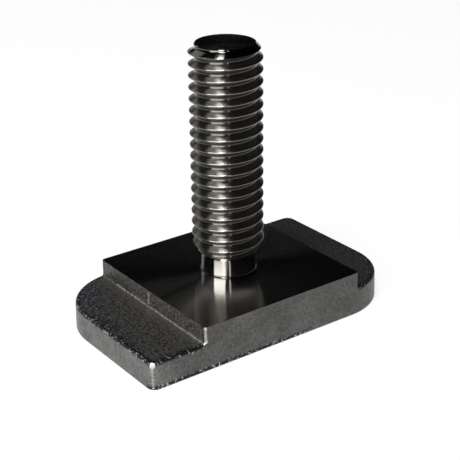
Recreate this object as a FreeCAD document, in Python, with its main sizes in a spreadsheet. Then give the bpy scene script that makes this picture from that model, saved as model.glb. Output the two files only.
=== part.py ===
# T slot bolt: a forged slot head with a raised, machined guide block, and a round M8 stud
# with an undercut neck. It is one piece of steel, so it is one body.
#
# Frame, in millimetres: X runs along the head, Y across it, Z up the stud. The origin is the
# middle of the head's underside. The head's two swing corners are at (-X, +Y) and (+X, -Y).

import FreeCAD, Part
import math
import os
import Sketcher

NODE = "t_slot_bolt"
QUARTER_TURN = math.pi / 2
FULL_TURN_DEGREES = 360.0
# Room by which a cutting outline reaches past the metal, and how near a point must lie to the
# place where it is looked for.
CUT_MARGIN = 2.0
NEAR = 1e-4

# Driving dimensions. The head's length and width are those of its underside: the forging's
# sides lean in from there by the draft angle, in degrees.
SIZES = {
    # forged head
    "head_length": 33.6,
    "head_width": 20.3,
    "shelf_height": 3.1,
    "draft_angle": 1.5,
    "swing_corner_radius": 7.3,
    "square_corner_radius": 1.0,
    "bottom_edge_radius": 0.25,
    "outer_edge_radius": 0.25,
    # raised guide block
    "block_length": 20.5,
    "block_height": 5.0,
    "step_fillet_radius": 0.2,
    # stud above the block, drawn at the thread's major diameter
    "stud_length": 25.3,
    "thread_diameter": 7.8,
    "end_chamfer": 0.75,
    "neck_diameter": 6.0,
    "neck_length": 1.9,
    "neck_fillet_radius": 0.2,
    "run_out_length": 1.5,
}


def fill_sheet(doc, sizes):
    """Writes the driving dimensions into a sheet, one row each, with the name as its alias."""
    sheet = doc.addObject("Spreadsheet::Sheet", "Sizes")
    for row, (name, number) in enumerate(sizes.items(), start=1):
        sheet.set("A%d" % row, name)
        sheet.set("B%d" % row, str(number))
        sheet.setAlias("B%d" % row, name)
    doc.recompute()


def origin_plane(body, role):
    return next(item for item in body.Origin.OriginFeatures if item.Role == role)


def sketch_on(body, name, role):
    """Starts a sketch on one of the body's own origin planes."""
    sketch = body.newObject("Sketcher::SketchObject", name)
    sketch.AttachmentSupport = (origin_plane(body, role), [""])
    sketch.MapMode = "FlatFace"
    return sketch


def bind_constraint(sketch, constraint, name, formula):
    """Adds a dimension, names it and ties it to the sheet."""
    index = sketch.addConstraint(constraint)
    sketch.renameConstraint(index, name)
    sketch.setExpression("Constraints." + name, formula)


def pin_point(sketch, geometry, end, name, across=None, up=None):
    """Ties one end of an edge to the origin by its distances across and up.

    Each is a pair of the drawn distance and its formula, or None to leave it free.
    """
    origin = (-1, 1)
    for kind, suffix, pair in (("DistanceX", "_across", across), ("DistanceY", "_up", up)):
        if pair is None:
            continue
        drawn, formula = pair
        distance = Sketcher.Constraint(kind, *origin, geometry, end, drawn)
        bind_constraint(sketch, distance, name + suffix, formula)


def draw_closed(sketch, corners):
    """Draws a closed outline of straight edges through the corners and joins their ends."""
    count = len(corners)
    for index in range(count):
        start = FreeCAD.Vector(*corners[index], 0)
        end = FreeCAD.Vector(*corners[(index + 1) % count], 0)
        sketch.addGeometry(Part.LineSegment(start, end))
    first = sketch.GeometryCount - count
    for index in range(count):
        following = first + (index + 1) % count
        sketch.addConstraint(Sketcher.Constraint("Coincident", first + index, 2, following, 1))
    return first


def draw_head_outline(sketch, size):
    """Plan of the head: a rectangle with two large swing corners and two nearly square ones."""
    half_x = size["head_length"] / 2
    half_y = size["head_width"] / 2
    # Sign of X, sign of Y, name of the radius and the arc's first angle in quarter turns,
    # anticlockwise from the corner at (-X, -Y).
    corners = [
        (-1, -1, "square_corner_radius", 2),
        (1, -1, "swing_corner_radius", 3),
        (1, 1, "square_corner_radius", 0),
        (-1, 1, "swing_corner_radius", 1),
    ]
    arcs = []
    for sign_x, sign_y, radius_name, turn in corners:
        radius = size[radius_name]
        centre = FreeCAD.Vector(sign_x * (half_x - radius), sign_y * (half_y - radius), 0)
        circle = Part.Circle(centre, FreeCAD.Vector(0, 0, 1), radius)
        start, end = turn * QUARTER_TURN, (turn + 1) * QUARTER_TURN
        arcs.append(sketch.addGeometry(Part.ArcOfCircle(circle, start, end)))
    for index, (sign_x, sign_y, radius_name, turn) in enumerate(corners):
        arc = arcs[index]
        following = arcs[(index + 1) % len(arcs)]
        line = Part.LineSegment(sketch.getPoint(arc, 2), sketch.getPoint(following, 1))
        side = sketch.addGeometry(line)
        sketch.addConstraint(Sketcher.Constraint("Tangent", arc, 2, side, 1))
        sketch.addConstraint(Sketcher.Constraint("Tangent", side, 2, following, 1))
        if index % 2 == 0:
            sketch.addConstraint(Sketcher.Constraint("Horizontal", side))
            distance = (sign_y * half_y, "%d * Sizes.head_width / 2" % sign_y)
            pin_point(sketch, side, 1, "side%d" % index, up=distance)
        else:
            sketch.addConstraint(Sketcher.Constraint("Vertical", side))
            distance = (sign_x * half_x, "%d * Sizes.head_length / 2" % sign_x)
            pin_point(sketch, side, 1, "side%d" % index, across=distance)
    for index, (arc, corner) in enumerate(zip(arcs, corners)):
        radius = Sketcher.Constraint("Radius", arc, size[corner[2]])
        bind_constraint(sketch, radius, "corner%d" % index, "Sizes." + corner[2])


def draw_step_cuts(sketch, size):
    """Front view of what is taken off above the shelf at each end of the head."""
    inner = size["block_length"] / 2
    outer = size["head_length"] / 2 + CUT_MARGIN
    low = size["shelf_height"]
    high = size["block_height"] + CUT_MARGIN
    for sign, end_name in ((-1, "left"), (1, "right")):
        corners = [(sign * inner, low), (sign * outer, low), (sign * outer, high), (sign * inner, high)]
        foot = draw_closed(sketch, corners)
        for offset, direction in enumerate(("Horizontal", "Vertical", "Horizontal", "Vertical")):
            sketch.addConstraint(Sketcher.Constraint(direction, foot + offset))
        pin_point(
            sketch, foot, 1, end_name + "_foot",
            across=(sign * inner, "%d * Sizes.block_length / 2" % sign),
            up=(low, "Sizes.shelf_height"),
        )
        pin_point(
            sketch, foot + 2, 1, end_name + "_outside",
            across=(sign * outer, "%d * (Sizes.head_length / 2 + %g)" % (sign, CUT_MARGIN)),
            up=(high, "Sizes.block_height + %g" % CUT_MARGIN),
        )


def draw_stud_profile(sketch, size):
    """Half section of the stud: neck, run-out taper and the length that carries the thread."""
    neck = (size["neck_diameter"] / 2, "Sizes.neck_diameter / 2")
    thread = (size["thread_diameter"] / 2, "Sizes.thread_diameter / 2")
    neck_up = size["block_height"] + size["neck_length"]
    neck_formula = "Sizes.block_height + Sizes.neck_length"
    base = (size["shelf_height"], "Sizes.shelf_height")
    neck_top = (neck_up, neck_formula)
    taper_top = (neck_up + size["run_out_length"], neck_formula + " + Sizes.run_out_length")
    tip = (size["block_height"] + size["stud_length"], "Sizes.block_height + Sizes.stud_length")
    axis = (0.0, None)
    places = [
        ("axis_base", axis, base),
        ("neck_base", neck, base),
        ("neck_top", neck, neck_top),
        ("taper_top", thread, taper_top),
        ("tip", thread, tip),
        ("axis_tip", axis, tip),
    ]
    first = draw_closed(sketch, [(across[0], up[0]) for _, across, up in places])
    for index, (name, across, up) in enumerate(places):
        if across is axis:
            sketch.addConstraint(Sketcher.Constraint("PointOnObject", first + index, 1, -2))
            pin_point(sketch, first + index, 1, name, up=up)
        else:
            pin_point(sketch, first + index, 1, name, across=across, up=up)


def near(value, target):
    return abs(value - target) < NEAR


def edges_where(feature, test):
    """Names of the feature's edges that pass the test, which is given each edge."""
    numbered = enumerate(feature.Shape.Edges, start=1)
    return ["Edge%d" % number for number, edge in numbered if test(edge)]


def at_height(edge, height):
    """True for an edge that lies level at the height."""
    middle = edge.valueAt((edge.FirstParameter + edge.LastParameter) / 2)
    points = [vertex.Point for vertex in edge.Vertexes] + [middle]
    return all(near(point.z, height) for point in points)


def across_at(edge, distance):
    """True for an edge that lies at the distance from the head's middle, along X."""
    return all(near(abs(vertex.Point.x), distance) for vertex in edge.Vertexes)


def dress(body, kind, name, edges, amount, size, size_name):
    """Adds a fillet or chamfer on edges of the body's last feature, tied to the sheet."""
    if not edges:
        raise RuntimeError("no edges found for " + name)
    base = body.Tip
    feature = body.newObject(kind, name)
    feature.Base = (base, edges)
    setattr(feature, amount, size[size_name])
    feature.setExpression(amount, "Sizes." + size_name)
    body.Document.recompute()
    return feature


def add_head(body, size):
    """The blank with its drafted sides, and the steps that leave the guide block standing."""
    doc = body.Document
    outline = sketch_on(body, "HeadOutline", "XY_Plane")
    draw_head_outline(outline, size)
    blank = body.newObject("PartDesign::Pad", "HeadBlank")
    blank.Profile = outline
    blank.setExpression("Length", "Sizes.block_height")
    doc.recompute()

    numbered = enumerate(blank.Shape.Faces, start=1)
    sides = ["Face%d" % number for number, face in numbered if near(face.normalAt(0, 0).z, 0.0)]
    leaning = body.newObject("PartDesign::Draft", "SideDraft")
    leaning.Base = (blank, sides)
    leaning.NeutralPlane = (origin_plane(body, "XY_Plane"), [""])
    leaning.setExpression("Angle", "Sizes.draft_angle")
    doc.recompute()
    if not leaning.Shape.Volume < blank.Shape.Volume:
        raise RuntimeError("the sides lean outwards")

    cuts = sketch_on(body, "StepSketch", "XZ_Plane")
    draw_step_cuts(cuts, size)
    steps = body.newObject("PartDesign::Pocket", "Steps")
    steps.Profile = cuts
    steps.Midplane = True
    steps.setExpression("Length", "Sizes.head_width + %g" % CUT_MARGIN)
    doc.recompute()
    if not steps.Shape.Volume < leaning.Shape.Volume - NEAR:
        raise RuntimeError("the steps cut nothing")


def add_stud(body, size):
    """The turned stud, which stands on the guide block."""
    profile = sketch_on(body, "StudProfile", "XZ_Plane")
    draw_stud_profile(profile, size)
    stud = body.newObject("PartDesign::Revolution", "Stud")
    stud.Profile = profile
    stud.ReferenceAxis = (profile, ["V_Axis"])
    stud.Angle = FULL_TURN_DEGREES
    body.Document.recompute()


def blend_edges(body, size):
    """Step feet, outer rims, underside, neck foot and stud end, in the order they are formed."""
    shelf = size["shelf_height"]
    top = size["block_height"]
    half_block = size["block_length"] / 2
    foot_end = half_block + size["step_fillet_radius"]
    neck_radius = size["neck_diameter"] / 2

    def on_step_foot(edge):
        return at_height(edge, shelf) and across_at(edge, half_block)

    def on_outer_edge(edge):
        """The outer edge of each shelf, and the block's corners that stand up from it."""
        points = [vertex.Point for vertex in edge.Vertexes]
        past_block = all(abs(point.x) > half_block - NEAR for point in points)
        on_rim = at_height(edge, shelf) and past_block and not across_at(edge, foot_end)
        levels = [point.z for point in points]
        on_corner = across_at(edge, half_block) and max(levels) - min(levels) > NEAR
        return on_rim or on_corner

    def on_neck_foot(edge):
        return at_height(edge, top) and near(getattr(edge.Curve, "Radius", 0.0), neck_radius)

    def on_underside(edge):
        return at_height(edge, 0.0)

    def on_tip(edge):
        return at_height(edge, top + size["stud_length"])

    fillet, chamfer = "PartDesign::Fillet", "PartDesign::Chamfer"
    blends = [
        (fillet, "StepFillets", on_step_foot, "Radius", "step_fillet_radius"),
        (fillet, "OuterEdges", on_outer_edge, "Radius", "outer_edge_radius"),
        (fillet, "BottomEdges", on_underside, "Radius", "bottom_edge_radius"),
        (fillet, "NeckFillet", on_neck_foot, "Radius", "neck_fillet_radius"),
        (chamfer, "EndChamfer", on_tip, "Size", "end_chamfer"),
    ]
    for kind, name, test, amount, size_name in blends:
        dress(body, kind, name, edges_where(body.Tip, test), amount, size, size_name)


def check(doc, body):
    """Stops on any object that failed to build, and on a shape that can't be used."""
    for item in doc.Objects:
        if "Invalid" in item.State or "Error" in item.State:
            raise RuntimeError("%s failed: %s" % (item.Name, item.State))
    shape = body.Shape
    if shape.isNull() or not shape.isValid() or len(shape.Solids) != 1:
        raise RuntimeError("%s isn't one valid solid" % body.Label)


def main():
    doc = FreeCAD.newDocument("TSlotBolt")
    fill_sheet(doc, SIZES)
    body = doc.addObject("PartDesign::Body", "Bolt")
    body.Label = NODE
    body.Placement = FreeCAD.Placement()
    add_head(body, SIZES)
    add_stud(body, SIZES)
    blend_edges(body, SIZES)
    check(doc, body)
    os.makedirs("parts", exist_ok=True)
    body.Shape.exportStep("parts/%s.step" % body.Label)
    box = body.Shape.optimalBoundingBox()
    print("%s: %.2f x %.2f x %.2f mm, %.1f mm3" % (
        body.Label, box.XLength, box.YLength, box.ZLength, body.Shape.Volume))


main()
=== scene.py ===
# %% [markdown]
# # A T slot bolt
#
# This lesson dresses one real object: a forged and machined T slot bolt, a single piece of steel
# with a stepped head and an M8 stud. The CAD model fixes every size. Here the bolt gets what a
# plain solid lacks: the thread itself, the blasted skin of the forging, the ground top of the
# guide block, and light that shows them.
#
# The frame is loaded first. Its box is kept, because the finished bolt has to stay inside it.

import math

import bmesh
import bpy
from mathutils import Matrix, Vector


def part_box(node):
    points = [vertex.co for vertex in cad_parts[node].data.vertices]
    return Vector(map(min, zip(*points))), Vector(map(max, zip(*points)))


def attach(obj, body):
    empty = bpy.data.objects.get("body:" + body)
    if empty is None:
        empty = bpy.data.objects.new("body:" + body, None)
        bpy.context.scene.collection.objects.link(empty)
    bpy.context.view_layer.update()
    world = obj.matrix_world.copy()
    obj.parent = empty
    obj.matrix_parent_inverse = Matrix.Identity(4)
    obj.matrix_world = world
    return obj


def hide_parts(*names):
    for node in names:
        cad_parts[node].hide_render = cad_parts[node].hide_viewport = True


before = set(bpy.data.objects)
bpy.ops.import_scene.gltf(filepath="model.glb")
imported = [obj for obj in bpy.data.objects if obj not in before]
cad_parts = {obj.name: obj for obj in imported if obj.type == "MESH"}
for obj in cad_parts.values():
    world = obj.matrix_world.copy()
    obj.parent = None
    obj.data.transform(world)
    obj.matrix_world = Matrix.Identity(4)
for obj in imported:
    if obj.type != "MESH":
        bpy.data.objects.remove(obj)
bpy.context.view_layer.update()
node_low, node_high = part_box("t_slot_bolt")

# %% [markdown]
# ## Sizes
#
# The bolt is drawn on a bench in millimetres, where the operators' merge distances and bevels
# behave well, and it is brought down to metres when it is finished. What the frame's box can tell
# is read from it. The rest are the sizes of a part like this one: shelf, block, neck and thread.
#
# A forging's sides lean in from the underside, so that it leaves its die. The box is widest just
# above the rounded bottom edge, and the underside's sharp outline is worked out from there.

# %% The bench and the driving sizes
METRES_PER_MM = 0.001
SHELF_HEIGHT = 3.1
SIDE_LEAN = math.tan(math.radians(1.5))
SWING_CORNER_RADIUS = 7.3
SQUARE_CORNER_RADIUS = 1.0
BOTTOM_EDGE_RADIUS = 0.25
OUTER_EDGE_RADIUS = 0.25
BLOCK_LENGTH = 20.5
BLOCK_HEIGHT = 5.0
STEP_FILLET_RADIUS = 0.2

HEAD_LENGTH = (node_high.x - node_low.x) / METRES_PER_MM + 2 * BOTTOM_EDGE_RADIUS * SIDE_LEAN
HEAD_WIDTH = (node_high.y - node_low.y) / METRES_PER_MM + 2 * BOTTOM_EDGE_RADIUS * SIDE_LEAN
OVERALL_HEIGHT = (node_high.z - node_low.z) / METRES_PER_MM

THREAD_RADIUS = 3.9
THREAD_PITCH = 1.25
END_CHAMFER = 0.75
NECK_RADIUS = 3.0
NECK_LENGTH = 1.9
NECK_FILLET_RADIUS = 0.2
RUN_OUT_LENGTH = 1.5
print("head %.2f x %.2f mm, overall %.2f mm" % (HEAD_LENGTH, HEAD_WIDTH, OVERALL_HEIGHT))

# %% [markdown]
# ## Hand tools
#
# Operators act on whatever is selected, so each one is led by a selection made in code: nothing,
# one object, or the edges and faces whose place passes a test. Two lengths count as the same when
# they are less than a micrometre apart.

# %% Selecting and applying
CLOSE = 0.001


def only(piece):
    """Back to object mode with this piece alone selected and active."""
    if bpy.context.mode != "OBJECT":
        bpy.ops.object.mode_set(mode="OBJECT")
    bpy.ops.object.select_all(action="DESELECT")
    piece.select_set(True)
    bpy.context.view_layer.objects.active = piece


def select_where(kind, test):
    """In edit mode, selects just the vertices, edges or faces that pass the test."""
    mode = {"verts": "VERT", "edges": "EDGE", "faces": "FACE"}[kind]
    bpy.ops.mesh.select_mode(type=mode)
    bpy.ops.mesh.select_all(action="DESELECT")
    mesh = bpy.context.edit_object.data
    work = bmesh.from_edit_mesh(mesh)
    chosen = [item for item in getattr(work, kind) if test(item)]
    for item in chosen:
        item.select_set(True)
    work.select_flush_mode()
    bmesh.update_edit_mesh(mesh)
    return len(chosen)


def near(value, target):
    """True for two lengths that are meant to be the same."""
    return abs(value - target) < CLOSE


def ends(edge):
    """The places of an edge's two vertices."""
    return [vertex.co for vertex in edge.verts]


def apply_modifier(piece, kind, **settings):
    """Adds one modifier, sets it up and applies it."""
    only(piece)
    bpy.ops.object.modifier_add(type=kind)
    modifier = piece.modifiers[-1]
    for name, value in settings.items():
        setattr(modifier, name, value)
    bpy.ops.object.modifier_apply(modifier=modifier.name)


def outward(piece):
    """Turns every face outwards."""
    only(piece)
    bpy.ops.object.mode_set(mode="EDIT")
    bpy.ops.mesh.select_all(action="SELECT")
    bpy.ops.mesh.normals_make_consistent(inside=False)
    bpy.ops.object.mode_set(mode="OBJECT")


def round_edges(radius, segments):
    """In edit mode, rounds the selected edges with a circular bevel."""
    bpy.ops.mesh.bevel(offset=radius, segments=segments, profile=0.5, affect="EDGES")


def edge_uses(mesh):
    """How many faces meet at each edge: 2 everywhere on a closed piece."""
    uses = {}
    for face in mesh.polygons:
        for key in face.edge_keys:
            uses[key] = uses.get(key, 0) + 1
    return uses


def report(piece):
    """Prints the piece's faces, and how many edges are open: none, on a closed piece."""
    open_edges = sum(1 for count in edge_uses(piece.data).values() if count != 2)
    print("%s: %d faces, %d open edges" % (piece.name, len(piece.data.polygons), open_edges))


print("hand tools ready")

# %% [markdown]
# ## The head
#
# On the real bolt the head is forged: a flat blank whose two opposite corners are swung round, so
# that the bolt can be turned a quarter in its channel, and whose middle stands up as a block that
# guides in the slot. It could be cut from a large box, but a forging grows the other way. So it
# starts as a box of the shelf's height, its upright corners are bevelled, its top is drawn in by
# the lean of the sides, and the middle of its top face is extruded up.

# %% The blank and its corners
bpy.ops.object.select_all(action="DESELECT")
bpy.ops.mesh.primitive_cube_add(size=1, location=(0, 0, SHELF_HEIGHT / 2))
head = bpy.context.active_object
head.name = "forged_head"
head.scale = (HEAD_LENGTH, HEAD_WIDTH, SHELF_HEIGHT)
bpy.ops.object.transform_apply(location=True, rotation=True, scale=True)
bpy.ops.object.mode_set(mode="EDIT")


def upright_corner(swing):
    """A test for the upright edges of the swing corners, or of the two nearly square ones."""
    def test(edge):
        low, high = ends(edge)
        at_corner = near(abs(low.x), HEAD_LENGTH / 2) and near(abs(low.y), HEAD_WIDTH / 2)
        upright = near(low.x, high.x) and near(low.y, high.y)
        return at_corner and upright and (low.x * low.y < 0) == swing
    return test


SWING_SEGMENTS = 22
SQUARE_SEGMENTS = 6
select_where("edges", upright_corner(swing=True))
round_edges(SWING_CORNER_RADIUS, SWING_SEGMENTS)
select_where("edges", upright_corner(swing=False))
round_edges(SQUARE_CORNER_RADIUS, SQUARE_SEGMENTS)


def drawn_in(size, height, base=0.0):
    """The factor by which a size shrinks from one height of a leaning side to another."""
    return (size - 2 * height * SIDE_LEAN) / (size - 2 * base * SIDE_LEAN)


select_where("verts", lambda vertex: near(vertex.co.z, SHELF_HEIGHT))
lean_in = (drawn_in(HEAD_LENGTH, SHELF_HEIGHT), drawn_in(HEAD_WIDTH, SHELF_HEIGHT), 1)
bpy.ops.transform.resize(value=lean_in, center_override=(0, 0, 0))
print("blank with", len(bmesh.from_edit_mesh(head.data).faces), "faces")

# %% [markdown]
# The top face is bisected where the block begins and ends, and its middle is raised and drawn in
# by the same lean. A limited dissolve then takes away the seams that the cuts left on the flat
# sides, so that the bevels which follow find clean corners. A face counts as looking along an
# axis when its normal nearly lies on it.

# %% The guide block
HALF_BLOCK = BLOCK_LENGTH / 2
FACING = 0.99
SEAM_ANGLE = math.radians(0.8)


def on_shelf_level(face):
    return face.normal.z > FACING and near(face.calc_center_median().z, SHELF_HEIGHT)


def on_block(face):
    return on_shelf_level(face) and all(abs(v.co.x) < HALF_BLOCK + CLOSE for v in face.verts)


for side in (-1, 1):
    select_where("faces", on_shelf_level)
    bpy.ops.mesh.bisect(plane_co=(side * HALF_BLOCK, 0, 0), plane_no=(1, 0, 0))
select_where("faces", on_block)
bpy.ops.mesh.extrude_region_move(
    TRANSFORM_OT_translate={"value": (0, 0, BLOCK_HEIGHT - SHELF_HEIGHT)}
)
select_where("verts", lambda vertex: near(vertex.co.z, BLOCK_HEIGHT))
lean_in = (1, drawn_in(HEAD_WIDTH, BLOCK_HEIGHT, SHELF_HEIGHT), 1)
bpy.ops.transform.resize(value=lean_in, center_override=(0, 0, 0))
bpy.ops.mesh.select_all(action="SELECT")
bpy.ops.mesh.dissolve_limited(angle_limit=SEAM_ANGLE)
print("block raised:", len(bmesh.from_edit_mesh(head.data).faces), "faces")

# %% [markdown]
# Three families of edges are rounded, in the order in which a toolmaker would blend them: the
# concave foot of each step, then the outer edge of each shelf, which runs on up the step and the
# block's corner in one sweep, and last the edge all round the underside. The outer edge is found
# by its faces: on one side lies the head's wall, and on the other a shelf or a step.

# %% Blending the edges
FOOT_SEGMENTS = 5
EDGE_SEGMENTS = 4
UPRIGHT = 0.1
ACROSS = 1e-4
END_MARGIN = 1.0


def on_step_foot(edge):
    return all(near(end.z, SHELF_HEIGHT) and near(abs(end.x), HALF_BLOCK) for end in ends(edge))


select_where("edges", on_step_foot)
round_edges(STEP_FILLET_RADIUS, FOOT_SEGMENTS)


def is_wall(face):
    """True for a face of the head's outer side, which is no step, shelf, foot, top or underside."""
    away_from_ends = abs(face.calc_center_median().x) < HEAD_LENGTH / 2 - END_MARGIN
    is_step = abs(face.normal.y) < ACROSS and away_from_ends
    return abs(face.normal.z) < UPRIGHT and not is_step


def on_outer_edge(edge):
    """True between a wall and a shelf, foot or step, and false round the block's ground top."""
    walls = sum(1 for face in edge.link_faces if is_wall(face))
    low, high = ends(edge)
    on_top = near(low.z, BLOCK_HEIGHT) and near(high.z, BLOCK_HEIGHT)
    return walls == 1 and min(low.z, high.z) > SHELF_HEIGHT - CLOSE and not on_top


print("outer edges:", select_where("edges", on_outer_edge))
round_edges(OUTER_EDGE_RADIUS, EDGE_SEGMENTS)
select_where("edges", lambda edge: all(near(end.z, 0) for end in ends(edge)))
round_edges(BOTTOM_EDGE_RADIUS, EDGE_SEGMENTS)
bpy.ops.object.mode_set(mode="OBJECT")
report(head)

# %% [markdown]
# Where the two halves of the trimming tool met, a hair of metal stands up the middle of each
# step. Each step face is bisected three times, and the middle cut is pulled out a little.

# %% The witness line on each step
WITNESS_PLACE = 0.38
WITNESS_HALF_WIDTH = 0.14
WITNESS_HEIGHT = 0.12


def on_step(side):
    """A test for the flat faces of one step."""
    def test(face):
        centre = face.calc_center_median()
        return face.normal.x * side > FACING and near(centre.x, side * HALF_BLOCK)
    return test


bpy.ops.object.mode_set(mode="EDIT")
for side in (-1, 1):
    line = -side * WITNESS_PLACE
    for across in (line - WITNESS_HALF_WIDTH, line, line + WITNESS_HALF_WIDTH):
        select_where("faces", on_step(side))
        bpy.ops.mesh.bisect(plane_co=(0, across, 0), plane_no=(0, 1, 0))
    moved = select_where("verts", lambda v: near(v.co.y, line) and near(v.co.x, side * HALF_BLOCK))
    print("witness line on side", side, "moves", moved, "vertices")
    bpy.ops.transform.translate(value=(side * WITNESS_HEIGHT, 0, 0))
bpy.ops.object.mode_set(mode="OBJECT")
report(head)

# %% [markdown]
# ## The stud
#
# A rolled thread is one ridge wound round the stud. Its section is known: flanks at 60 degrees to
# each other, a narrow crest, here rounded as rolling leaves it, and a wide rounded root. So one
# pitch of that section is drawn point by point, as by hand, and a Screw modifier winds it up. The
# section begins and ends in the middle of a root, where each turn meets the next and merges.

# %% Drawing a section
def draw_section(name, points):
    """A chain of edges through (radius, height) points in the XZ plane."""
    bpy.ops.object.select_all(action="DESELECT")
    bpy.ops.mesh.primitive_plane_add(size=1)
    piece = bpy.context.active_object
    piece.name = name
    bpy.ops.object.mode_set(mode="EDIT")
    bpy.ops.mesh.select_mode(type="VERT")
    bpy.ops.mesh.select_all(action="SELECT")
    bpy.ops.mesh.merge(type="CENTER")
    targets = [Vector((radius, 0, height)) for radius, height in points]
    bpy.ops.transform.translate(value=targets[0])
    for before, after in zip(targets, targets[1:]):
        bpy.ops.mesh.extrude_region_move(TRANSFORM_OT_translate={"value": after - before})
    bpy.ops.object.mode_set(mode="OBJECT")
    print("%s drawn with %d points" % (name, len(piece.data.vertices)))
    return piece


def arc_points(centre, radius, first, last, count):
    """Points of an arc; angles in degrees, 0 along the radius and 90 up."""
    angles = [math.radians(first + (last - first) * i / (count - 1)) for i in range(count)]
    return [(centre[0] + radius * math.cos(a), centre[1] + radius * math.sin(a)) for a in angles]


print("drawing tools ready")

# %% One pitch of the thread
HALF_ANGLE = math.radians(30)
ROOT_RADIUS = 0.28
CREST_RADIUS = 0.09
ROOT_POINTS = 5
CREST_POINTS = 7


def thread_section():
    """Half root, flank, crest, flank and half root, over one pitch, from the bottom up.

    Root and crest are arcs that the flanks touch, so the depth follows from the two radii.
    """
    crest_centre = THREAD_RADIUS - CREST_RADIUS
    flank_run = (CREST_RADIUS + ROOT_RADIUS) / math.sin(HALF_ANGLE)
    sharp_depth = THREAD_PITCH / 2 / math.tan(HALF_ANGLE)
    root_centre = crest_centre - sharp_depth + flank_run
    half = THREAD_PITCH / 2
    return (
        arc_points((root_centre, 0), ROOT_RADIUS, 180, 120, ROOT_POINTS)
        + arc_points((crest_centre, half), CREST_RADIUS, -60, 60, CREST_POINTS)
        + arc_points((root_centre, THREAD_PITCH), ROOT_RADIUS, 240, 180, ROOT_POINTS)
    )


thread = draw_section("rolled_thread", thread_section())

# %% [markdown]
# The thread's lead matters: on this bolt the crests rise to the right in front. The wound ridge is
# placed so that its crest passes the left side of the stud at a known height, then it is cut
# square at both ends, which also closes it.

# %% Winding the thread
THREAD_STEPS = 96
CREST_HEADING = math.radians(143.9)
CREST_HEIGHT = 28.105
THREAD_FROM = BLOCK_HEIGHT + NECK_LENGTH / 2
THREAD_TO = OVERALL_HEIGHT + 1.0
MERGE = 1e-4
SPARE_TURNS = 2
turns_needed = math.ceil((THREAD_TO - THREAD_FROM) / THREAD_PITCH) + SPARE_TURNS

apply_modifier(
    thread, "SCREW", axis="Z", angle=2 * math.pi, screw_offset=THREAD_PITCH,
    iterations=turns_needed, steps=THREAD_STEPS, render_steps=THREAD_STEPS,
    use_merge_vertices=True, merge_threshold=MERGE,
)
crest_at_start = THREAD_PITCH / 2 + THREAD_PITCH * CREST_HEADING / (2 * math.pi)
turns_below = math.floor((CREST_HEIGHT - THREAD_FROM) / THREAD_PITCH) + 1
lift = CREST_HEIGHT - crest_at_start - turns_below * THREAD_PITCH
only(thread)
bpy.ops.object.mode_set(mode="EDIT")
bpy.ops.mesh.select_all(action="SELECT")
bpy.ops.mesh.remove_doubles(threshold=MERGE)
bpy.ops.transform.translate(value=(0, 0, lift))
for height, upper in ((THREAD_FROM, False), (THREAD_TO, True)):
    bpy.ops.mesh.select_all(action="SELECT")
    bpy.ops.mesh.bisect(
        plane_co=(0, 0, height), plane_no=(0, 0, 1), use_fill=True,
        clear_inner=not upper, clear_outer=upper,
    )
bpy.ops.object.mode_set(mode="OBJECT")
outward(thread)
report(thread)

# %% [markdown]
# The rest of the stud is turned on a lathe: a small foot fillet, the undercut neck, the taper by
# which the thread runs out, and the chamfered end. That shape is spun round the axis as an
# envelope that stands clear of the crests, and the thread is what the two have in common.

# %% The turned envelope
CREST_CLEARANCE = 0.4
SEAT_DEPTH = 1.0
FLARE_SUNK = 0.02
FLARE_POINTS = 6
LATHE_STEPS = 96


def envelope_section():
    """(radius, height) points from the axis below, round the outside, to the axis on top."""
    clear = THREAD_RADIUS + CREST_CLEARANCE
    foot = BLOCK_HEIGHT - FLARE_SUNK
    neck_top = BLOCK_HEIGHT + NECK_LENGTH
    taper = (THREAD_RADIUS - NECK_RADIUS) / RUN_OUT_LENGTH
    flare_centre = (NECK_RADIUS + NECK_FILLET_RADIUS, foot + NECK_FILLET_RADIUS)
    flare = arc_points(flare_centre, NECK_FILLET_RADIUS, 270, 180, FLARE_POINTS)
    seat = BLOCK_HEIGHT - SEAT_DEPTH
    return [(0, seat), (flare[0][0], seat)] + flare + [
        (NECK_RADIUS, neck_top),
        (clear, neck_top + (clear - NECK_RADIUS) / taper),
        (clear, OVERALL_HEIGHT - END_CHAMFER - CREST_CLEARANCE),
        (THREAD_RADIUS - END_CHAMFER, OVERALL_HEIGHT),
        (0, OVERALL_HEIGHT),
    ]


stud = draw_section("threaded_stud", envelope_section())
only(stud)
bpy.ops.object.mode_set(mode="EDIT")
bpy.ops.mesh.select_all(action="SELECT")
bpy.ops.mesh.spin(steps=LATHE_STEPS, angle=2 * math.pi, center=(0, 0, 0), axis=(0, 0, 1))
bpy.ops.mesh.select_all(action="SELECT")
bpy.ops.mesh.remove_doubles(threshold=MERGE)
bpy.ops.object.mode_set(mode="OBJECT")
outward(stud)
report(stud)

# %% [markdown]
# The wound ridge begins half way up the neck. Below that the envelope has no thread inside it, so
# the ridge is first joined to a wide plain core, and the neck is what the envelope leaves of it.

# %% Thread, stud and head in one
CORE_BELOW = BLOCK_HEIGHT - 2 * SEAT_DEPTH
CORE_ABOVE = THREAD_FROM + CLOSE
SLIVER = 0.002
bpy.ops.object.select_all(action="DESELECT")
bpy.ops.mesh.primitive_cylinder_add(
    vertices=LATHE_STEPS, radius=THREAD_RADIUS + 2 * CREST_CLEARANCE,
    depth=CORE_ABOVE - CORE_BELOW, location=(0, 0, (CORE_ABOVE + CORE_BELOW) / 2),
)
core = bpy.context.active_object
core.name = "stud_core"
bpy.ops.object.transform_apply(location=True, rotation=True, scale=True)


def combine(piece, other, operation):
    """Boolean of two closed pieces; the second one is used up."""
    apply_modifier(piece, "BOOLEAN", operation=operation, solver="EXACT", object=other)
    bpy.data.objects.remove(other)


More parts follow.
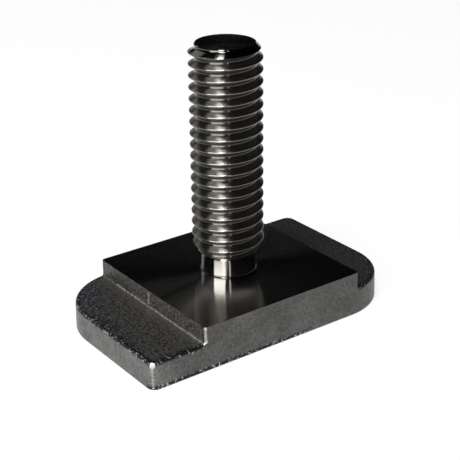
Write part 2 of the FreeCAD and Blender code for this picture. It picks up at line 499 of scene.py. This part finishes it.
combine(thread, core, "UNION")
combine(stud, thread, "INTERSECT")
combine(head, stud, "UNION")
bolt = head
bolt.name = "t_slot_bolt_finished"
only(bolt)
bpy.ops.object.mode_set(mode="EDIT")
bpy.ops.mesh.select_all(action="SELECT")
bpy.ops.mesh.remove_doubles(threshold=SLIVER)
bpy.ops.mesh.dissolve_degenerate(threshold=SLIVER)
bpy.ops.object.mode_set(mode="OBJECT")
report(bolt)

# %% [markdown]
# ## Writing a finish
#
# A finish is a small sum: this colour where that mask is high, plus some grain. Written as nodes
# it is long, so a socket is wrapped in a class whose sums and products add the Math nodes, and
# one function makes every other node. Places are in millimetres, from Object coordinates.

# %% Sockets that can be added and multiplied
class Socket:
    """An output of a node, which adds Math nodes to its material when it is used in a sum."""

    def __init__(self, tree, link):
        self.tree = tree
        self.link = link

    def maths(self, operation, *values):
        sockets = dict(enumerate(values))
        return add_node(self.tree, "ShaderNodeMath", {"operation": operation}, sockets)

    def __add__(self, other):
        return self.maths("ADD", self, other)

    def __sub__(self, other):
        return self.maths("SUBTRACT", self, other)

    def __rsub__(self, other):
        return self.maths("SUBTRACT", other, self)

    def __mul__(self, other):
        return self.maths("MULTIPLY", self, other)

    def __abs__(self):
        return self.maths("ABSOLUTE", self)

    def root(self):
        return self.maths("SQRT", self)

    def at_least(self, other):
        """The larger of two values."""
        return self.maths("MAXIMUM", self, other)

    def at_most(self, other):
        """The smaller of two values."""
        return self.maths("MINIMUM", self, other)

    __radd__ = __add__
    __rmul__ = __mul__


def add_node(tree, kind, settings, sockets, output=0):
    """Adds a node: its settings first, then the values or links of its sockets."""
    node = tree.nodes.new(kind)
    for name, value in settings.items():
        setattr(node, name, value)
    for key, value in sockets.items():
        if isinstance(value, Socket):
            tree.links.new(value.link, node.inputs[key])
        else:
            node.inputs[key].default_value = value
    return Socket(tree, node.outputs[output]) if node.outputs else None


print("sockets ready")

# %% A material under construction
class Finish:
    """A material under construction, with its place on the bolt in millimetres."""

    def __init__(self, name):
        self.material = bpy.data.materials.new(name)
        self.material.use_nodes = True
        self.tree = self.material.node_tree
        self.tree.nodes.clear()
        metres = self.node("ShaderNodeTexCoord", output="Object")
        to_mm = {0: metres, "Scale": 1 / METRES_PER_MM}
        self.place = self.node("ShaderNodeVectorMath", {"operation": "SCALE"}, to_mm)
        split = self.node("ShaderNodeSeparateXYZ", sockets={0: self.place}).link.node
        self.x, self.y, self.z = (Socket(self.tree, output) for output in split.outputs)

    def node(self, kind, settings=None, sockets=None, output=0):
        return add_node(self.tree, kind, settings or {}, sockets or {}, output)

    def noise(self, lumps, detail, place=None):
        """Noise from 0 to 1, with about this many lumps to a millimetre."""
        sockets = {
            "Vector": place or self.place, "Scale": lumps, "Detail": detail, "Roughness": 0.6,
        }
        return self.node("ShaderNodeTexNoise", {}, sockets)

    def turned(self, angle, scale):
        """The place turned about Z and then stretched, for grain that runs one way."""
        turn = self.node(
            "ShaderNodeMapping", {}, {"Vector": self.place, "Rotation": (0, 0, angle)}
        )
        return self.node("ShaderNodeMapping", {}, {"Vector": turn, "Scale": scale})

    def between(self, value, low, high):
        """A soft mask of a value: 0 at low and 1 at high, whichever of the two is larger."""
        limits = {"Value": value, "From Min": low, "From Max": high}
        return self.node("ShaderNodeMapRange", {"interpolation_type": "SMOOTHSTEP"}, limits)

    def where(self, *limits):
        """The product of soft masks, each given by its value, low and high."""
        first, *rest = (self.between(*limit) for limit in limits)
        for mask in rest:
            first = first * mask
        return first

    def blend(self, mask, first, second):
        """The first colour where the mask is 0 and the second where it is 1."""
        colours = {6: first, 7: second}
        for key, colour in colours.items():
            if not isinstance(colour, Socket):
                colours[key] = (*colour, 1)
        return self.node("ShaderNodeMix", {"data_type": "RGBA"}, {0: mask, **colours}, output=2)

    def bump(self, height, depth_mm, strength):
        """Relief for the light alone, this deep where the height goes from 0 to 1."""
        sockets = {
            "Height": height, "Distance": depth_mm * METRES_PER_MM, "Strength": strength,
        }
        return self.node("ShaderNodeBump", {}, sockets)

    def metal(self, **sockets):
        """Ends the finish in a metal shader; names with spaces are written with underscores."""
        named = {name.replace("_", " "): value for name, value in sockets.items()}
        shader = self.node("ShaderNodeBsdfPrincipled", {}, {"Metallic": 1.0, **named})
        self.node("ShaderNodeOutputMaterial", {}, {"Surface": shader})
        print("finish", self.material.name, "has", len(self.tree.nodes), "nodes")
        return self.material


print("finish tools ready")

# %% [markdown]
# ## The blasted forging
#
# After forging, the head is blasted clean with grit. Each grain leaves a tiny dent, so the steel
# looks grey, dull and sparkling at once. The shelves, where the die pressed hardest, stay darker
# and rougher, and are pitted towards their rims. Along the outer edges lies a dark band of painted
# shade, with bright nicks in it. The corners that strike against other bolts are burnished glossy
# and given painted highlights, and so is the foot of each step.
#
# An image could give one lucky patch of this, but noise in Object coordinates covers every side
# at the true size of the grains. The masks need to know how far a point lies inside the head's
# outline, so that distance is worked out first.

# %% How far inside the outline
def inside_outline(finish):
    """Distance from the head's leaning outline, in millimetres, and the corner's fullness."""
    lean = finish.z * SIDE_LEAN
    swing = finish.between(finish.x * finish.y, 0.01, -0.01)
    radius = swing * (SWING_CORNER_RADIUS - SQUARE_CORNER_RADIUS) + SQUARE_CORNER_RADIUS
    past_x = abs(finish.x) - (HEAD_LENGTH / 2 - lean - radius)
    past_y = abs(finish.y) - (HEAD_WIDTH / 2 - lean - radius)
    corner_x = past_x.at_least(0.0)
    corner_y = past_y.at_least(0.0)
    rounded = (corner_x * corner_x + corner_y * corner_y).root()
    flat = past_x.at_least(past_y).at_most(0.0)
    fullness = corner_x * corner_y * (1 - swing)
    return radius - rounded - flat, fullness


print("outline sums ready")

# %% [markdown]
# From here on a colour with a name in the plural is a pair, dark and light, between which the
# grain chooses. The limits of a mask are pairs too: it is 0 at the first value and 1 at the
# second, in millimetres where the value is a place. Most places get a little noise added first,
# so that no edge looks drawn.

# %% Sides, shelves and steps
SIDE_SKINS = (0.067, 0.066, 0.064), (0.146, 0.143, 0.138)
PAINTED_LIGHT_END_SKINS = (0.082, 0.081, 0.078), (0.210, 0.207, 0.199)
SHELF_SKINS = (0.01, 0.01, 0.009), (0.235, 0.226, 0.208)
PITTED_SKINS = (0.022, 0.023, 0.028), (0.34, 0.36, 0.40)
STEP_SKINS = (0.03, 0.029, 0.027), (0.24, 0.232, 0.22)
LIGHT_SHELF = (0.21, 0.20, 0.185)
PAINTED_SHADE_SHELF = (0.035, 0.037, 0.046)

NEAR_HEAD_END = 13.0, 16.5
NEAR_STEP = HALF_BLOCK + 1.7, HALF_BLOCK + 0.5
PITTED_RIM = 2.9, 1.9
PITTED_BEYOND = HALF_BLOCK + 1.9, HALF_BLOCK + 2.9
BACK_OF_STEP = 2.0, 8.0


def side_skin(finish, grit, dents):
    """The head's sides, with painted light making them a little lighter at its two ends."""
    clouds = finish.noise(0.55, 2.0)
    level = (grit * 0.9 + dents * 0.7 + clouds * 0.4 - 1.0) * 2.2 + 0.5
    # painted light: the ends are coloured lighter, standing in for the light the front panel throws
    # on the left end
    at_end = finish.between(abs(finish.x) + dents, *NEAR_HEAD_END)
    sides, lit_ends_of_head = finish.blend(level, *SIDE_SKINS), finish.blend(level, *PAINTED_LIGHT_END_SKINS)
    return finish.blend(at_end, sides, lit_ends_of_head)


def shelf_skin(finish, coarse, dents, inside):
    """A shelf: lighter beside its step, pitted along its rim, and darkened on the right by painted
    shade.
    """
    along = abs(finish.x)
    beside_step = finish.between(along + dents * 0.6, *NEAR_STEP)
    skin = finish.blend(coarse, *SHELF_SKINS)
    skin = finish.blend(beside_step * 0.5, skin, LIGHT_SHELF)
    pitted = finish.where(
        (inside + finish.x * finish.y * 0.01 + dents * 0.8, *PITTED_RIM),
        (along + dents * 0.8, *PITTED_BEYOND),
    )
    right_side = finish.between(finish.x, 0.0, HALF_BLOCK)
    pits = finish.between(finish.noise(4.6, 1.0), 0.50, 0.66)
    pitted_skin = finish.blend(pits, *PITTED_SKINS)
    skin = finish.blend(pitted * (0.8 - right_side * 0.5), skin, pitted_skin)
    # painted shade: the right shelf is coloured darker, standing in for the shade it lies in
    return finish.blend(right_side * 0.3, skin, PAINTED_SHADE_SHELF)


def step_skin(finish, coarse):
    """The face between shelf and block, with painted shade darkening its back half."""
    shaded_back_half = finish.between(finish.y, *BACK_OF_STEP)
    # painted shade: the back half is blended towards the darkest step colour
    return finish.blend(shaded_back_half * 0.45, finish.blend(coarse, *STEP_SKINS), STEP_SKINS[0])


def head_skin(finish, grit, dents, inside):
    """Sides, then shelves, then steps, each over the one before."""
    along = abs(finish.x)
    coarse = (grit * 1.1 + dents * 0.7 - 0.9) * 3.2 + 0.5
    on_shelf = finish.where(
        (finish.z + dents * 0.1, SHELF_HEIGHT - 0.02, SHELF_HEIGHT + 0.05),
        (along, HALF_BLOCK, HALF_BLOCK + 0.1),
    )
    on_step = finish.where(
        (along, HALF_BLOCK - 0.03, HALF_BLOCK - 0.01),
        (along, HALF_BLOCK + 0.20, HALF_BLOCK + 0.12),
        (finish.z, SHELF_HEIGHT + 0.06, SHELF_HEIGHT + 0.12),
    )
    colour = side_skin(finish, grit, dents)
    colour = finish.blend(on_shelf, colour, shelf_skin(finish, coarse, dents, inside))
    return finish.blend(on_step, colour, step_skin(finish, coarse))


print("skins ready")

# %% Painted shade along the edges
PAINTED_SHADE_AND_NICKS = (0.010, 0.011, 0.015), (0.50, 0.51, 0.54)
RIM_WIDTH = 0.72, 0.38
RIM_LEVEL = SHELF_HEIGHT - 0.45, SHELF_HEIGHT - 0.15
FOOT_WIDTH = 0.6, 0.4
FOOT_LEVEL = 0.62, 0.42
LONG_SIDES = 8.8, 9.6
FOOT_END = 7.0, 3.0


def with_painted_shade(finish, colour, grit, dents, inside):
    """Adds painted shade with bright nicks in it: on the shelves' rims and low on the long sides.
    """
    ragged = dents * 0.5 + grit * 0.3 - 0.4
    at_rim = finish.where(
        (inside + ragged, *RIM_WIDTH), (finish.z + ragged, *RIM_LEVEL),
        (abs(finish.x), HALF_BLOCK, HALF_BLOCK + 0.3),
    )
    at_foot = finish.where(
        (finish.z + ragged, *FOOT_LEVEL), (inside, *FOOT_WIDTH),
        (abs(finish.y), *LONG_SIDES), (finish.x + dents * 4, *FOOT_END),
    )
    nicks = finish.between(finish.noise(3.8, 1.0), 0.56, 0.68)
    # painted shade: a dark band on the shelves' rims and along the bottom edge, with bright nicks
    # in it
    scale = finish.blend(nicks, *PAINTED_SHADE_AND_NICKS)
    return finish.blend(at_rim.at_least(at_foot) * 0.85, colour, scale)


print("scale ready")

# %% Burnished corners with painted highlights
CORNER_HIGHLIGHT_STEELS = (0.5, 0.49, 0.47), (0.85, 0.84, 0.82)
FOOT_HIGHLIGHT_STEEL = (0.85, 0.84, 0.81)
CORNER_TOP = SHELF_HEIGHT - 0.9, SHELF_HEIGHT - 0.3
CORNER_FULLNESS = 0.468, 0.495
BLOCK_CORNER = HALF_BLOCK + HEAD_WIDTH / 2
BLOCK_MIDDLE = (SHELF_HEIGHT + BLOCK_HEIGHT) / 2
FOOT_LINE_END = 7.2, 6.6


def block_corners(finish, grit):
    """The block's upright edges at the square corners, a painted highlight brightest at top and
    bottom.
    """
    along = abs(finish.x)
    edge = finish.where(
        (along + abs(finish.y) + (grit - 0.5) * 0.4, BLOCK_CORNER - 0.42, BLOCK_CORNER - 0.24),
        (along, HALF_BLOCK + 0.05, HALF_BLOCK - 0.05),
        (finish.z, SHELF_HEIGHT + 0.05, SHELF_HEIGHT + 0.2),
        (finish.x * finish.y, 0.0, 10.0),
    )
    blobs = finish.between(abs(finish.z - BLOCK_MIDDLE) + (grit - 0.5) * 0.3, 0.5, 0.85)
    return edge * (blobs * 0.6 + 0.4)


def step_feet(finish, grit, dents):
    """A broken line of painted highlight along the fillet at the foot of each step."""
    along = abs(finish.x)
    return finish.where(
        (finish.z, SHELF_HEIGHT + 0.17, SHELF_HEIGHT + 0.10),
        (finish.z, SHELF_HEIGHT - 0.01, SHELF_HEIGHT + 0.01),
        (along, HALF_BLOCK + 0.17, HALF_BLOCK + 0.10),
        (along, HALF_BLOCK + 0.005, HALF_BLOCK + 0.02),
        (dents * 0.6 + grit * 0.4, 0.40, 0.56),
        (finish.y, *FOOT_LINE_END),
    )


def with_burnish_and_highlights(finish, colour, grit, dents, fullness):
    """Adds the painted highlights, and gives back the colour and how burnished, so how glossy, each
    place is.
    """
    corner_top = finish.between(finish.z, *CORNER_TOP)
    corner_highlight_reach = fullness + (grit - 0.5) * 0.15 + corner_top * 0.055
    corner = finish.between(corner_highlight_reach, *CORNER_FULLNESS) * (corner_top * 0.5 + 0.5)
    corner = corner.at_least(block_corners(finish, grit))
    feet = step_feet(finish, grit, dents)
    # painted highlight: corners and step feet are coloured bright, brightest at the corners' tops;
    # the burnish itself only lowers the roughness
    colour = finish.blend(corner * 0.85, colour, finish.blend(corner_top, *CORNER_HIGHLIGHT_STEELS))
    colour = finish.blend(feet * 0.8, colour, FOOT_HIGHLIGHT_STEEL)
    return colour, corner.at_least(feet)


print("burnish ready")

# %% The forging's finish
GRIT_DEPTH = 0.05


def blasted_forging():
    """Skin, painted shade, and burnish with painted highlights over one relief of grit and dents.
    """
    finish = Finish("blasted_forging")
    inside, fullness = inside_outline(finish)
    grit = finish.noise(6.5, 3.0)
    dents = finish.noise(3.2, 2.0)
    colour = head_skin(finish, grit, dents, inside)
    colour = with_painted_shade(finish, colour, grit, dents, inside)
    colour, burnished = with_burnish_and_highlights(finish, colour, grit, dents, fullness)
    roughness = 0.48 - burnished * 0.2 + (grit - 0.5) * 0.2
    relief = finish.bump(grit * 0.6 + dents * 0.4, GRIT_DEPTH, 0.8)
    return finish.metal(Base_Color=colour, Roughness=roughness, Normal=relief)


forged = blasted_forging()

# %% [markdown]
# ## The ground top of the block
#
# The block's top is ground flat, and shines nearly black where the room behind it is dark. A
# grinding wheel leaves hairlines that all run one way. They are made by a noise that is stretched
# nearly a hundredfold along the wheel's path, and they only touch the colour, the gloss and a
# bump of less than a thousandth of a millimetre. The stud's end has the same finish, darker and
# smoother.

# %% The ground steel
GROUND_STEELS = (0.21, 0.20, 0.185), (0.30, 0.287, 0.267)
SCRATCHED_STEEL = (0.55, 0.54, 0.52)
STUD_END_STEEL = (0.16, 0.16, 0.158)
WHEEL_PATH = math.radians(28)
HAIRLINE_STRETCH = (0.25, 22.0, 1.0)
SCRATCH_STRETCH = (0.12, 9.0, 1.0)
GROUND_DEPTH = 0.0006


def ground_steel():
    """Flat bright steel with hairlines, a few scratches the other way, and a faint haze."""
    finish = Finish("ground_top")
    hairlines = finish.noise(1.0, 3.0, finish.turned(WHEEL_PATH, HAIRLINE_STRETCH))
    other_way = finish.noise(1.0, 1.0, finish.turned(-WHEEL_PATH, SCRATCH_STRETCH))
    scratches = finish.between(other_way, 0.66, 0.72)
    haze = finish.noise(0.25, 2.0)
    stud_end = finish.between(finish.z, BLOCK_HEIGHT + 0.5, BLOCK_HEIGHT + 1)
    colour = finish.blend(hairlines * 0.6 + haze * 0.4, *GROUND_STEELS)
    colour = finish.blend(scratches * 0.2, colour, SCRATCHED_STEEL)
    colour = finish.blend(stud_end, colour, STUD_END_STEEL)
    roughness = 0.12 + hairlines * 0.05 + haze * 0.04 - stud_end * 0.08
    relief = finish.bump(hairlines, GROUND_DEPTH, 0.5)
    return finish.metal(
        Base_Color=colour, Roughness=roughness, Normal=relief,
        Anisotropic=1.0, Anisotropic_Rotation=0.25,
    )


ground = ground_steel()

# %% [markdown]
# ## The rolled stud
#
# Thread rolling drags the steel round the stud, and every flank is covered with hairlines that
# run round it. Such a surface spreads a reflection across the hairlines and keeps it sharp along
# them, which is what the shader's anisotropy does. The roots are painted darker, as shade in the
# grooves, and the crests lighter, partly rubbed and partly a painted highlight line; both are
# glossier than the flanks between them, and the mask is simply the distance from the stud's axis.
# The neck was never rolled and is turned bright. The turned chamfer is painted dark, standing in
# for the dark room it reflects, and painted shade fills the corner at the neck's foot.

# %% The rolled steel
FLANK_STEELS = (0.072, 0.067, 0.06), (0.165, 0.155, 0.143)
# painted shade: the roots are coloured darker, as shade in the grooves
PAINTED_SHADE_ROOT_STEEL = (0.075, 0.072, 0.067)
# crests: lighter partly as rubbed wear and partly as a painted highlight line
CREST_WEAR_AND_HIGHLIGHT_STEEL = (0.22, 0.212, 0.20)
NECK_STEEL = (0.43, 0.425, 0.415)
# painted shade: the chamfer is coloured dark, standing in for the dark room it reflects
PAINTED_SHADE_CHAMFER_STEEL = (0.065, 0.063, 0.06)
# painted shade in the corner at the neck's foot
PAINTED_CORNER_SHADE = (0.015, 0.015, 0.015)
ROLLED_STRETCH = (0.6, 0.6, 14.0)
ROLLED_DEPTH = 0.006
NECK_TOP = BLOCK_HEIGHT + NECK_LENGTH
CHAMFER_FOOT = OVERALL_HEIGHT - END_CHAMFER


def rolled_steel():
    """Flanks first, then root, crest, neck, chamfer and the painted shade at the neck's foot."""
    finish = Finish("rolled_stud")
    level_place = finish.node("ShaderNodeCombineXYZ", {}, {"X": finish.x, "Y": finish.y})
    radius = finish.node(
        "ShaderNodeVectorMath", {"operation": "LENGTH"}, {0: level_place}, output="Value"
    )
    hairlines = finish.noise(1.0, 3.0, finish.turned(0.0, ROLLED_STRETCH))
    smears = finish.noise(0.7, 2.0)
    on_thread = (finish.z, NECK_TOP, NECK_TOP + 1)
    on_root = finish.where((radius, THREAD_RADIUS - 0.56, THREAD_RADIUS - 0.66), on_thread)
    on_crest = finish.where((radius, THREAD_RADIUS - 0.12, THREAD_RADIUS - 0.02), on_thread)
    on_neck = finish.between(finish.z, NECK_TOP + 0.6, NECK_TOP + 0.2)
    on_chamfer = finish.between(finish.z, CHAMFER_FOOT, CHAMFER_FOOT + 0.1)
    in_corner = finish.between(finish.z, BLOCK_HEIGHT + 0.24, BLOCK_HEIGHT + 0.16)
    colour = finish.blend(hairlines * 0.6 + smears * 0.5, *FLANK_STEELS)
    # painted shade on roots, chamfer and the neck's foot; the crest colour is partly a painted
    # highlight
    for mask, steel in (
        (on_root, PAINTED_SHADE_ROOT_STEEL), (on_crest, CREST_WEAR_AND_HIGHLIGHT_STEEL), (on_neck, NECK_STEEL),
        (on_chamfer, PAINTED_SHADE_CHAMFER_STEEL), (in_corner * 0.9, PAINTED_CORNER_SHADE),
    ):
        colour = finish.blend(mask, colour, steel)
    rubbing = (on_crest + on_root) * 0.09 + on_neck * 0.24 + on_chamfer * 0.19
    roughness = 0.32 + (hairlines - 0.5) * 0.06 - rubbing
    relief = finish.bump(hairlines, ROLLED_DEPTH, 0.8)
    return finish.metal(
        Base_Color=colour, Roughness=roughness, Normal=relief,
        Anisotropic=1.0, Anisotropic_Rotation=0.25,
    )


rolled = rolled_steel()

# %% [markdown]
# Each region of the bolt takes its finish by its place: the forging everywhere first, then the
# flat top of the block, then all that stands above it, and last the stud's flat end.

# %% Giving each region its finish
only(bolt)
bolt.data.materials.clear()
for material in (forged, ground, rolled):
    bolt.data.materials.append(material)
bpy.ops.object.mode_set(mode="EDIT")


def level_at(height):
    """A test for flat faces that look up from one height."""
    def test(face):
        return face.normal.z > FACING and near(face.calc_center_median().z, height)
    return test


regions = (
    (0, lambda face: True),
    (1, level_at(BLOCK_HEIGHT)),
    (2, lambda face: face.calc_center_median().z > BLOCK_HEIGHT + CLOSE),
    (1, level_at(OVERALL_HEIGHT)),
)
for index, test in regions:
    count = select_where("faces", test)
    bolt.active_material_index = index
    bpy.ops.object.material_slot_assign()
    print(bolt.data.materials[index].name, "on", count, "faces")
bpy.ops.object.mode_set(mode="OBJECT")

# %% Shading and bringing the bolt down to metres
SMOOTH_UP_TO = math.radians(35)
only(bolt)
bpy.ops.object.shade_smooth_by_angle(angle=SMOOTH_UP_TO)
apply_modifier(bolt, "WEIGHTED_NORMAL", keep_sharp=True)
bolt.scale = (METRES_PER_MM,) * 3
bpy.ops.object.transform_apply(location=True, rotation=True, scale=True)
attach(bolt, "root")
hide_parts("t_slot_bolt")
print("bolt in metres:", [round(length, 5) for length in bolt.dimensions])

# %% [markdown]
# ## Stage, light and camera
#
# The bolt stands on a round sheet of white paper with a low rim. Seen by the camera or in the
# metal, the paper mostly glows white by itself. What is left of it is matt, and keeps the shadow.

# %% White paper under the bolt
PAPER_RADIUS = 0.9
PAPER_RIM = 0.14
PAPER_SIDES = 96
PAPER_GLOW = 0.88
PAPER_MATT = (0.9, 0.9, 0.9, 1)
WHITE = (1, 1, 1, 1)
bpy.ops.object.select_all(action="DESELECT")
bpy.ops.mesh.primitive_circle_add(vertices=PAPER_SIDES, radius=PAPER_RADIUS, fill_type="NGON")
floor = bpy.context.active_object
floor.name = "floor"
bpy.ops.object.mode_set(mode="EDIT")
bpy.ops.mesh.select_mode(type="EDGE")
bpy.ops.mesh.select_all(action="SELECT")
bpy.ops.mesh.region_to_loop()
bpy.ops.mesh.extrude_region_move(TRANSFORM_OT_translate={"value": (0, 0, PAPER_RIM)})
bpy.ops.object.mode_set(mode="OBJECT")


def white_paper():
    """Glows for rays from the camera, and for those that metal or glass sends on; else matt."""
    material = bpy.data.materials.new("white_paper")
    material.use_nodes = True
    tree = material.node_tree
    tree.nodes.clear()
    camera_ray = add_node(tree, "ShaderNodeLightPath", {}, {}, "Is Camera Ray")
    rays = camera_ray.link.node.outputs
    glossy_ray, through_ray = rays["Is Glossy Ray"], rays["Is Transmission Ray"]
    seen = camera_ray + Socket(tree, glossy_ray) + Socket(tree, through_ray)
    share = seen.at_most(1.0) * PAPER_GLOW
    matt = add_node(tree, "ShaderNodeBsdfDiffuse", {}, {"Color": PAPER_MATT})
    glow = add_node(tree, "ShaderNodeEmission", {}, {"Color": WHITE, "Strength": 1.0})
    mixed = add_node(tree, "ShaderNodeMixShader", {}, {0: share, 1: matt, 2: glow})
    add_node(tree, "ShaderNodeOutputMaterial", {}, {"Surface": mixed})
    return material


floor.data.materials.append(white_paper())
print("paper: %.1f m across, rim %.2f m" % (2 * PAPER_RADIUS, PAPER_RIM))

# %% A dim room
ROOM_STRENGTH = 0.008
world = bpy.data.worlds.new("dim_room")
bpy.context.scene.world = world
world.use_nodes = True
background = world.node_tree.nodes["Background"]
background.inputs["Color"].default_value = WHITE
background.inputs["Strength"].default_value = ROOM_STRENGTH
print("room strength", ROOM_STRENGTH)

# %% [markdown]
# The camera's place, turn and lens were worked out from the photo: its focal length is known in
# pixels, and so is its width, and the two give the lens for any sensor.

# %% Camera
CAMERA_HEADING = math.radians(-36.07)
CAMERA_PITCH = math.radians(24.16)
CAMERA_ROLL = math.radians(-0.74)
CAMERA_PLACE = Vector((-69.02, -95.16, 62.07)) * METRES_PER_MM
FOCAL_LENGTH_PIXELS = 1183.7
PHOTO_WIDTH_PIXELS = 460
SENSOR_WIDTH = 36
CLIP_START = 0.01
camera_data = bpy.data.cameras.new("camera")
camera_data.sensor_width = SENSOR_WIDTH
camera_data.lens = SENSOR_WIDTH * FOCAL_LENGTH_PIXELS / PHOTO_WIDTH_PIXELS
camera_data.clip_start = CLIP_START
camera = bpy.data.objects.new("camera", camera_data)
bpy.context.scene.collection.objects.link(camera)
camera.location = CAMERA_PLACE
turn = (
    Matrix.Rotation(CAMERA_HEADING, 4, "Z")
    @ Matrix.Rotation(math.pi / 2 - CAMERA_PITCH, 4, "X")
    @ Matrix.Rotation(CAMERA_ROLL, 4, "Z")
)
camera.rotation_euler = turn.to_euler()
bpy.context.scene.camera = camera
bpy.context.scene.view_settings.view_transform = "Standard"
distance_mm = CAMERA_PLACE.length / METRES_PER_MM
print("camera: lens %.1f mm, %.0f mm from the origin" % (camera_data.lens, distance_mm))

# %% [markdown]
# Bright steel shows its lamps, so each lamp is a panel that is placed by what it must reflect in:
# by its bearing from the camera's side, positive to the left, and its elevation. The large front
# panel shines in the neck, the crests and the head's left end, and the narrow bright one above it
# in the thread's flanks. The strip draws a thin line beside them, and the back panel keeps the
# far side from going black. Radiance is what a mirror would show, where 1 is white.

# %% Lamps
TO_RIGHT = Vector((math.cos(CAMERA_HEADING), math.sin(CAMERA_HEADING), 0))
AWAY = Vector((-math.sin(CAMERA_HEADING), math.cos(CAMERA_HEADING), 0))
UP = Vector((0, 0, 1))
AIM = Vector((0, 0, 0.015))


def panel(name, bearing, elevation, wide, tall, radiance, distance=0.40):
    """A rectangular lamp; all but the radiance and the distance in metres is in degrees."""
    bearing, elevation = math.radians(bearing), math.radians(elevation)
    level = -AWAY * math.cos(bearing) - TO_RIGHT * math.sin(bearing)
    back = level * math.cos(elevation) + UP * math.sin(elevation)
    along = (UP - back * UP.dot(back)).normalized()
    light = bpy.data.lights.new(name, "AREA")
    light.shape = "RECTANGLE"
    light.size = 2 * distance * math.tan(math.radians(wide / 2))
    light.size_y = 2 * distance * math.tan(math.radians(tall / 2))
    light.energy = radiance * math.pi * light.size * light.size_y
    lamp = bpy.data.objects.new(name, light)
    bpy.context.scene.collection.objects.link(lamp)
    lamp.location = AIM + back * distance
    lamp.rotation_euler = Matrix((along.cross(back), along, back)).transposed().to_euler()
    lamp.visible_camera = False
    size_mm = (light.size / METRES_PER_MM, light.size_y / METRES_PER_MM)
    print("%s: %.0f x %.0f mm, %.2f W" % (name, *size_mm, light.energy))


panel("front_panel", bearing=37, elevation=22, wide=46, tall=44, radiance=8.3)
panel("upper_panel", bearing=30, elevation=64, wide=11, tall=24, radiance=36)
panel("front_strip", bearing=-7, elevation=27.5, wide=3, tall=50, radiance=6)
panel("back_panel", bearing=143, elevation=34, wide=20, tall=28, radiance=1.2, distance=0.50)
